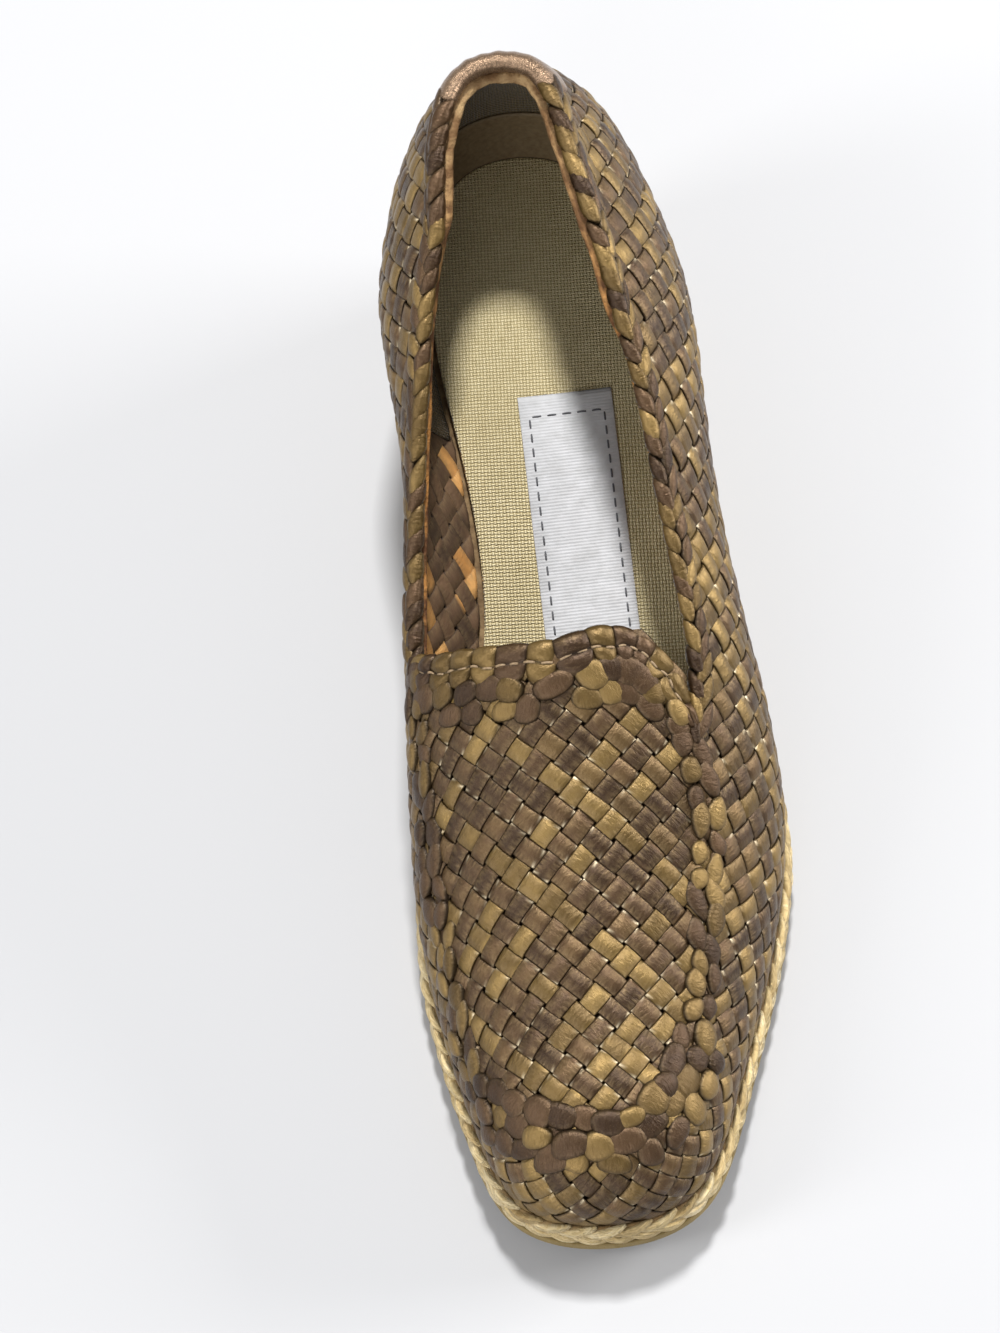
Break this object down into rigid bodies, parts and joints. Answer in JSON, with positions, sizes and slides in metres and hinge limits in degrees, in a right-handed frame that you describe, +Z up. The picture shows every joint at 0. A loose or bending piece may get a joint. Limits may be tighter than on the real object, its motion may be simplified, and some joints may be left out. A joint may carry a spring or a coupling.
{
  "type": "woven slip-on espadrille wedge shoe",
  "caption": "Left slip-on shoe with a woven strip leather upper, plaited jute foxing, a low jute-wrapped wedge and a thin rubber outsole.",
  "frame": {"origin": "on the floor under the centre of the whole shoe's bounding box", "axes": "+X to the outer side of the left foot, -Y towards the toe, +Y towards the heel, +Z up"},
  "size_m": [0.0858, 0.2534, 0.1134],
  "materials": {
    "rubber": "matt ochre-olive crepe rubber with a softly rounded edge",
    "jute_rope": "natural jute rope in level rows, matt and fibrous",
    "jute_braid": "natural straw-coloured jute plait in two chevron rows",
    "woven_leather": "metallic bronze-brown and olive-gold leather strips woven on the bias, soft satin sheen, fine creases",
    "bronze_leather": "smooth bronze leather binding with a satin metallic gloss",
    "linen": "olive-beige plain-weave linen, matt",
    "white_tape": "plain white woven tape with a stitched border, nothing written on it"
  },
  "bodies": {
    "root": {"outsole": "rubber", "jute_wedge": "jute_rope", "foxing_braid": "jute_braid", "upper": "woven_leather", "heel_binding": "bronze_leather", "insole": "linen", "insole_label": "white_tape"}
  },
  "joints": []
}
